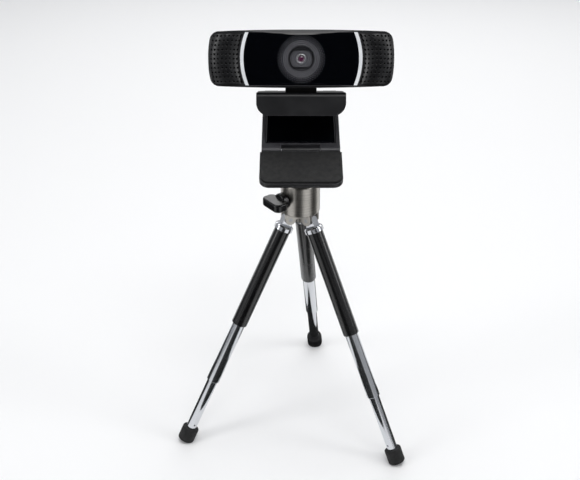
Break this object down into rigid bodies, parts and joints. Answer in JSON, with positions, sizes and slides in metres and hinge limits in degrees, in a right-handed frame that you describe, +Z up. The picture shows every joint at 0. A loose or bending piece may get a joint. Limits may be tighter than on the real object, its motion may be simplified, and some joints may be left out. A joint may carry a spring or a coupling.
{
  "type": "webcam on tripod",
  "caption": "Webcam with a folding monitor clip, screwed onto a small table tripod with a ball head and telescopic legs.",
  "frame": {"origin": "bottom centre of the whole object's box, on the surface that it stands on", "axes": "+Z up, the webcam looks along -Y and 20 degrees up, +X to the right seen from the front"},
  "size_m": [0.1338, 0.127, 0.2464],
  "materials": {
    "satin_black": "moulded, fine satin grain",
    "grille_black": "moulded, perforated",
    "piano_black": "polished",
    "silver_trim": "silver lacquer",
    "rail_grey": "satin",
    "lens_grey": "turned rings",
    "lens_metal": "anodised",
    "coated_glass": "coated",
    "satin_nickel": "brushed nickel plate",
    "chrome": "polished",
    "black_lacquer": "gloss lacquer",
    "knob_black": "moulded",
    "rubber": "matt",
    "white_nylon": "moulded",
    "steel": "zinc plated",
    "brass": "turned",
    "circuit_board": "solder mask"
  },
  "bodies": {
    "tripod_head": {"head_housing": "satin_nickel", "leg_yoke": "satin_nickel", "leg_hinge_pins": "steel", "yoke_screw": "steel", "clamp_pad": "white_nylon"},
    "ball_seat": {"ball_seat": "white_nylon"},
    "ball": {"tilt_ball": "chrome", "tilt_stem": "chrome"},
    "screw_disc": {"screw_disc": "chrome", "camera_screw": "steel", "disc_pad": "rubber"},
    "clamp_knob": {"clamp_knob": "knob_black", "clamp_screw": "steel"},
    "clip_flap": {"flap_frame": "rail_grey", "flap_plate": "piano_black", "thread_insert": "brass", "flap_hinge_pin": "steel", "foot_pin": "steel"},
    "clip_foot": {"foot_shell": "satin_black", "foot_pad": "rubber"},
    "clip_arm": {"clip_arm": "satin_black", "lip_pad": "rubber", "neck_pin": "steel"},
    "camera": {"front_frame": "satin_black", "rear_shell": "satin_black", "faceplate": "piano_black", "left_grille": "grille_black", "right_grille": "grille_black", "side_arcs": "silver_trim", "lens_bezel": "lens_grey", "lens_carrier": "lens_grey", "sensor_board": "circuit_board", "main_board": "circuit_board", "microphones": "steel", "cable_inlet": "rubber", "case_screws": "steel", "neck_block": "satin_black"},
    "focus_lens": {"lens_barrel": "lens_metal", "lens_glass": "coated_glass"},
    "leg_1": {"leg_1_hinge_plug": "chrome", "leg_1_sleeve": "black_lacquer"},
    "leg_1_middle": {"leg_1_middle_tube": "chrome", "leg_1_middle_bush": "white_nylon"},
    "leg_1_lower": {"leg_1_lower_tube": "chrome", "leg_1_lower_bush": "white_nylon", "leg_1_foot": "rubber"},
    "leg_2": {"leg_2_hinge_plug": "chrome", "leg_2_sleeve": "black_lacquer"},
    "leg_2_middle": {"leg_2_middle_tube": "chrome", "leg_2_middle_bush": "white_nylon"},
    "leg_2_lower": {"leg_2_lower_tube": "chrome", "leg_2_lower_bush": "white_nylon", "leg_2_foot": "rubber"},
    "leg_3": {"leg_3_hinge_plug": "chrome", "leg_3_sleeve": "black_lacquer"},
    "leg_3_middle": {"leg_3_middle_tube": "chrome", "leg_3_middle_bush": "white_nylon"},
    "leg_3_lower": {"leg_3_lower_tube": "chrome", "leg_3_lower_bush": "white_nylon", "leg_3_foot": "rubber"}
  },
  "joints": [
    {"name": "ball_pan", "type": "hinge", "parent": "tripod_head", "child": "ball_seat", "pos_m": [0.00565, -0.01294, 0.16979], "axis": [0, 0, 1], "continuous": true},
    {"name": "ball_tilt", "type": "hinge", "parent": "ball_seat", "child": "ball", "pos_m": [0.00565, -0.01294, 0.16979], "axis": [1, 0, 0], "range_deg": [-44, 16]},
    {"name": "clamp_knob_turn", "type": "hinge", "parent": "tripod_head", "child": "clamp_knob", "pos_m": [0.00565, -0.01294, 0.15219], "axis": [-0.7986, -0.6018, 0], "range_deg": [0, 270]},
    {"name": "screw_disc_turn", "type": "hinge", "parent": "ball", "child": "screw_disc", "pos_m": [0.00565, -0.0156, 0.18046], "axis": [0, -0.2419, 0.9703], "continuous": true},
    {"name": "webcam_lift_off", "type": "slide", "parent": "ball", "child": "clip_flap", "axis": [0, -0.2419, 0.9703], "range_m": [0, 0.07]},
    {"name": "clip_open", "type": "hinge", "parent": "clip_flap", "child": "clip_arm", "pos_m": [0.00565, 0.01475, 0.19926], "axis": [-1, 0, 0], "range_deg": [-25, 61]},
    {"name": "camera_tilt", "type": "hinge", "parent": "clip_arm", "child": "camera", "pos_m": [0.00565, -0.0171, 0.21117], "axis": [-1, 0, 0], "range_deg": [-12, 18]},
    {"name": "foot_fold", "type": "hinge", "parent": "clip_flap", "child": "clip_foot", "pos_m": [0.00565, -0.02481, 0.1843], "axis": [-1, 0, 0], "range_deg": [0, 75]},
    {"name": "autofocus", "type": "slide", "parent": "camera", "child": "focus_lens", "axis": [0, -0.9397, 0.342], "range_m": [0, 0.0004]},
    {"name": "leg_1_spread", "type": "hinge", "parent": "tripod_head", "child": "leg_1", "pos_m": [-0.00089, -0.01545, 0.13959], "axis": [-0.3584, 0.9336, 0], "range_deg": [-25.5, 0]},
    {"name": "leg_1_middle_slide", "type": "slide", "parent": "leg_1", "child": "leg_1_middle", "axis": [-0.4019, -0.1543, -0.9026], "range_m": [-0.04, 0]},
    {"name": "leg_1_lower_slide", "type": "slide", "parent": "leg_1_middle", "child": "leg_1_lower", "axis": [-0.4019, -0.1543, -0.9026], "range_m": [-0.034, 0]},
    {"name": "leg_2_spread", "type": "hinge", "parent": "tripod_head", "child": "leg_2", "pos_m": [0.01109, -0.01735, 0.13959], "axis": [-0.6293, -0.7771, 0], "range_deg": [-25.5, 0]},
    {"name": "leg_2_middle_slide", "type": "slide", "parent": "leg_2", "child": "leg_2_middle", "axis": [0.3346, -0.2709, -0.9026], "range_m": [-0.04, 0]},
    {"name": "leg_2_lower_slide", "type": "slide", "parent": "leg_2_middle", "child": "leg_2_lower", "axis": [0.3346, -0.2709, -0.9026], "range_m": [-0.034, 0]},
    {"name": "leg_3_spread", "type": "hinge", "parent": "tripod_head", "child": "leg_3", "pos_m": [0.00674, -0.00603, 0.13959], "axis": [0.9877, -0.1564, 0], "range_deg": [-25.5, 0]},
    {"name": "leg_3_middle_slide", "type": "slide", "parent": "leg_3", "child": "leg_3_middle", "axis": [0.0673, 0.4252, -0.9026], "range_m": [-0.04, 0]},
    {"name": "leg_3_lower_slide", "type": "slide", "parent": "leg_3_middle", "child": "leg_3_lower", "axis": [0.0673, 0.4252, -0.9026], "range_m": [-0.034, 0]}
  ]
}
